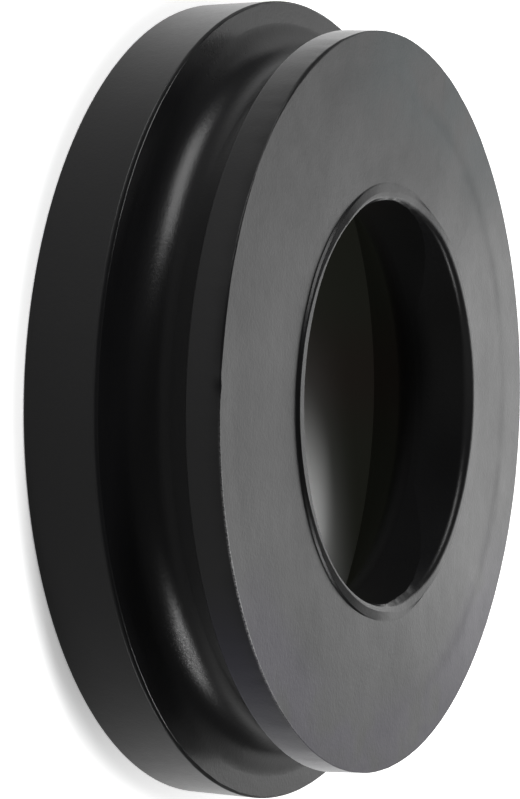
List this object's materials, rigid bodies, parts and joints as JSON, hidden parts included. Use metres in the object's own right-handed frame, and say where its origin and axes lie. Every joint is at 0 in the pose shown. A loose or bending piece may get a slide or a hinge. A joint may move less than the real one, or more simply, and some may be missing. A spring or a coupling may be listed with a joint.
{
  "type": "fuel filler neck seal",
  "caption": "Round moulded rubber seal with a tall rear flange, a coved groove for a panel edge, a thin front flange, and a lipped through bore for a pipe.",
  "frame": {"origin": "centre of the seal on its flat rear face", "axes": "+Z along the bore, out of the front face; the seal rests on its rear face, and X and Y lie in that face"},
  "size_m": [0.075, 0.075, 0.017],
  "materials": {
    "rubber": "semi-matt moulded black"
  },
  "bodies": {
    "root": {"filler_neck_seal": "rubber"}
  },
  "joints": []
}
